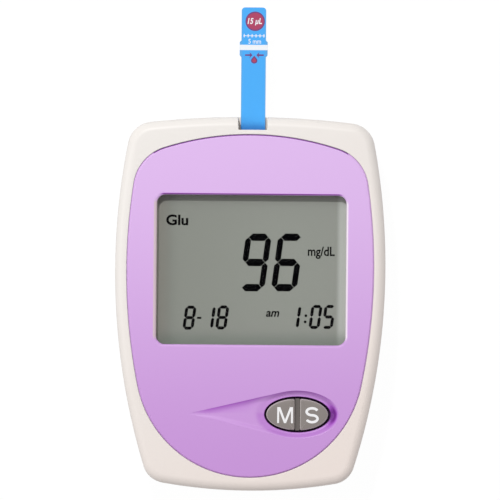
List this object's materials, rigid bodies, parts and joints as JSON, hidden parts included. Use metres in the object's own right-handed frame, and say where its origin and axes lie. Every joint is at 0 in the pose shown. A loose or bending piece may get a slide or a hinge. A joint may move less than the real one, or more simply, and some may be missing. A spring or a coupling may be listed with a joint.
{
  "type": "blood glucose meter",
  "caption": "Hand-held blood glucose meter in a rounded cream case with a lilac faceplate, window, oval keys, and a test strip in its top port.",
  "frame": {"origin": "middle of the flat back face on which the meter lies", "axes": "+X to the right seen from the front, +Y towards the strip port, +Z out of the display"},
  "size_m": [0.0638, 0.1142, 0.022],
  "materials": {
    "housing": "cream moulded plastic, satin gloss",
    "faceplate": "lilac moulded plastic, satin gloss",
    "lens": "clear polished plastic window",
    "foam": "black foam",
    "display": "grey-green reflective display film",
    "display_glass": "display glass cell over its reflector",
    "white_plastic": "white moulded plastic",
    "elastomer": "layered elastomer",
    "board": "green solder mask",
    "black_plastic": "black moulded plastic",
    "steel": "plated steel",
    "ceramic": "ceramic chip",
    "key_mat": "dark grey silicone rubber",
    "key": "warm grey plastic, satin",
    "gold": "gilt spring contacts",
    "strip_white": "white polyester film",
    "strip_print": "sky blue printed film",
    "carbon_ink": "carbon ink tracks",
    "cell": "plain wrapped dry cell"
  },
  "bodies": {
    "meter": {"front_housing": "housing", "back_housing": "housing", "faceplate": "faceplate", "display_lens": "lens", "display_gasket": "foam", "lcd_film": "display", "lcd_glass": "display_glass", "lcd_holder": "white_plastic", "elastomer_strip": "elastomer", "main_board": "board", "controller_chip": "black_plastic", "amplifier_chip": "black_plastic", "crystal": "steel", "capacitors": "ceramic", "buzzer": "black_plastic", "keypad_mat": "key_mat", "memory_switch": "black_plastic", "set_switch": "black_plastic", "strip_connector": "black_plastic", "connector_contacts": "gold", "battery_1": "cell", "battery_2": "cell", "battery_springs": "steel", "link_contact": "steel", "end_contacts": "steel", "case_screws": "steel", "board_screws": "steel"},
    "memory_key": {"memory_button": "key", "memory_plunger": "white_plastic"},
    "set_key": {"set_button": "key", "set_plunger": "white_plastic"},
    "strip": {"strip_base": "strip_white", "strip_cover": "strip_print", "strip_electrodes": "carbon_ink"},
    "door": {"battery_door": "housing"}
  },
  "joints": [
    {"name": "memory_press", "type": "slide", "parent": "meter", "child": "memory_key", "axis": [0, 0, -1], "range_m": [0, 0.0005], "stiffness_N_per_m": 1500, "springref_m": -0.0005},
    {"name": "set_press", "type": "slide", "parent": "meter", "child": "set_key", "axis": [0, 0, -1], "range_m": [0, 0.0005], "stiffness_N_per_m": 1500, "springref_m": -0.0005},
    {"name": "strip_slide", "type": "slide", "parent": "meter", "child": "strip", "axis": [0, 1, 0], "range_m": [0, 0.012]},
    {"name": "door_slide", "type": "slide", "parent": "meter", "child": "door", "axis": [0, -1, 0], "range_m": [0, 0.06]}
  ]
}
